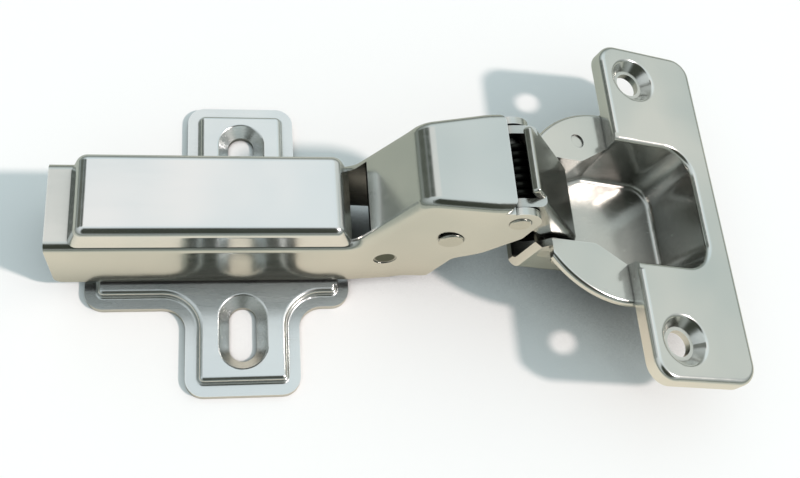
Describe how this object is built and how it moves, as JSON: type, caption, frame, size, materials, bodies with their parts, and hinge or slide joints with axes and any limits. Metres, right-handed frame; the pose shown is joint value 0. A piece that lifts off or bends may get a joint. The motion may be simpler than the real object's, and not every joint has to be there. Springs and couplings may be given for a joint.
{
  "type": "concealed cup hinge",
  "caption": "Concealed cabinet hinge held open: cross-shaped mounting plate, cranked channel arm with cover cap, crossing links and a round flanged cup.",
  "frame": {"origin": "middle of the mounting plate, between its two screw slots, on the face that lies on the cabinet side", "axes": "+Z away from the cabinet side, +X along the arm toward the cup, +Y along the line of the screw slots"},
  "size_m": [0.1097, 0.0614, 0.0315],
  "materials": {
    "plate_steel": "bright nickel plate",
    "arm_steel": "bright nickel plate",
    "cap_steel": "smooth bright nickel plate",
    "link_steel": "bright nickel plate",
    "cup_steel": "bright nickel plate",
    "pin_steel": "plated, peened ends",
    "screw_steel": "zinc plate",
    "spring_wire": "black oiled wire"
  },
  "bodies": {
    "plate": {"mounting_plate": "plate_steel"},
    "lock_screw": {"locking_screw": "screw_steel"},
    "arm": {"hinge_arm": "arm_steel", "outer_arm_pin": "pin_steel", "inner_arm_pin": "pin_steel", "arm_cover_cap": "cap_steel", "closing_spring": "spring_wire"},
    "side_screw": {"side_adjusting_screw": "screw_steel"},
    "outer": {"outer_link": "link_steel"},
    "inner": {"inner_link": "link_steel"},
    "cup": {"hinge_cup": "cup_steel", "cup_rivet_near": "pin_steel", "cup_rivet_far": "pin_steel", "cup_inner_pin": "pin_steel"}
  },
  "joints": [
    {"name": "depth_slide", "type": "slide", "parent": "plate", "child": "arm", "axis": [1, 0, 0], "range_m": [-0.002, 0.002]},
    {"name": "locking_screw_turn", "type": "hinge", "parent": "plate", "child": "lock_screw", "pos_m": [-0.016, 0, 0.0125], "axis": [0, 0, 1], "continuous": true},
    {"name": "side_screw_turn", "type": "hinge", "parent": "arm", "child": "side_screw", "pos_m": [0.0085, 0, 0.0155], "axis": [0, 0, 1], "continuous": true},
    {"name": "outer_link_hinge", "type": "hinge", "parent": "arm", "child": "outer", "pos_m": [0.0406, 0, 0.0263], "axis": [0, -1, 0], "range_deg": [-33.1, 0]},
    {"name": "inner_link_hinge", "type": "hinge", "parent": "arm", "child": "inner", "pos_m": [0.0314, 0, 0.0196], "axis": [0, -1, 0], "range_deg": [-42.17, 0]},
    {"name": "cup_hinge", "type": "hinge", "parent": "outer", "child": "cup", "pos_m": [0.05068, 0, 0.01349], "axis": [0, -1, 0], "range_deg": [0, 138.09]}
  ],
  "couplings": [
    {"joint": "outer_link_hinge", "follows": "cup_hinge", "ratio": -0.23964},
    {"joint": "inner_link_hinge", "follows": "cup_hinge", "ratio": -0.30535}
  ]
}
